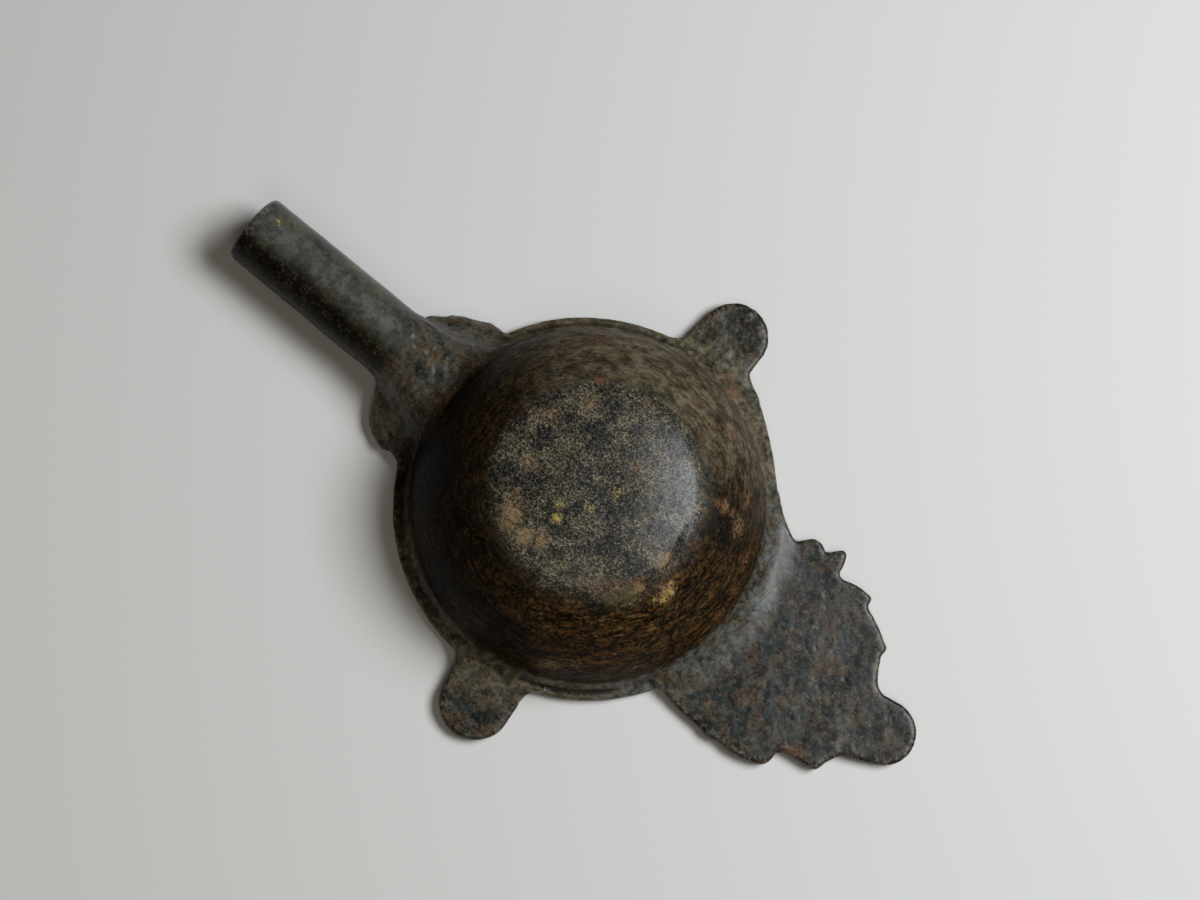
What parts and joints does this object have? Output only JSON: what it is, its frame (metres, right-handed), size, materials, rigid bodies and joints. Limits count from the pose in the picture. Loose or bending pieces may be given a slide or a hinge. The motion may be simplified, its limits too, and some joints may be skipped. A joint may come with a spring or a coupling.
{
  "type": "oil lamp filler",
  "caption": "Small cast metal bowl for filling oil lamps, with a straight tubular spout, a scalloped leaf handle and round side ears, lying mouth down.",
  "frame": {"origin": "middle of the outline, on the plane that the lip and the handle rest on", "axes": "+X from the bowl towards the handle's tip, -X along the spout towards its mouth, +Z from the bowl's mouth up to its base"},
  "size_m": [0.1382, 0.0866, 0.027],
  "materials": {
    "patinated_brass": "dark brown-black patina, satin, worn to bare metal in small spots"
  },
  "bodies": {
    "root": {"oil_lamp_filler": "patinated_brass"}
  },
  "joints": []
}
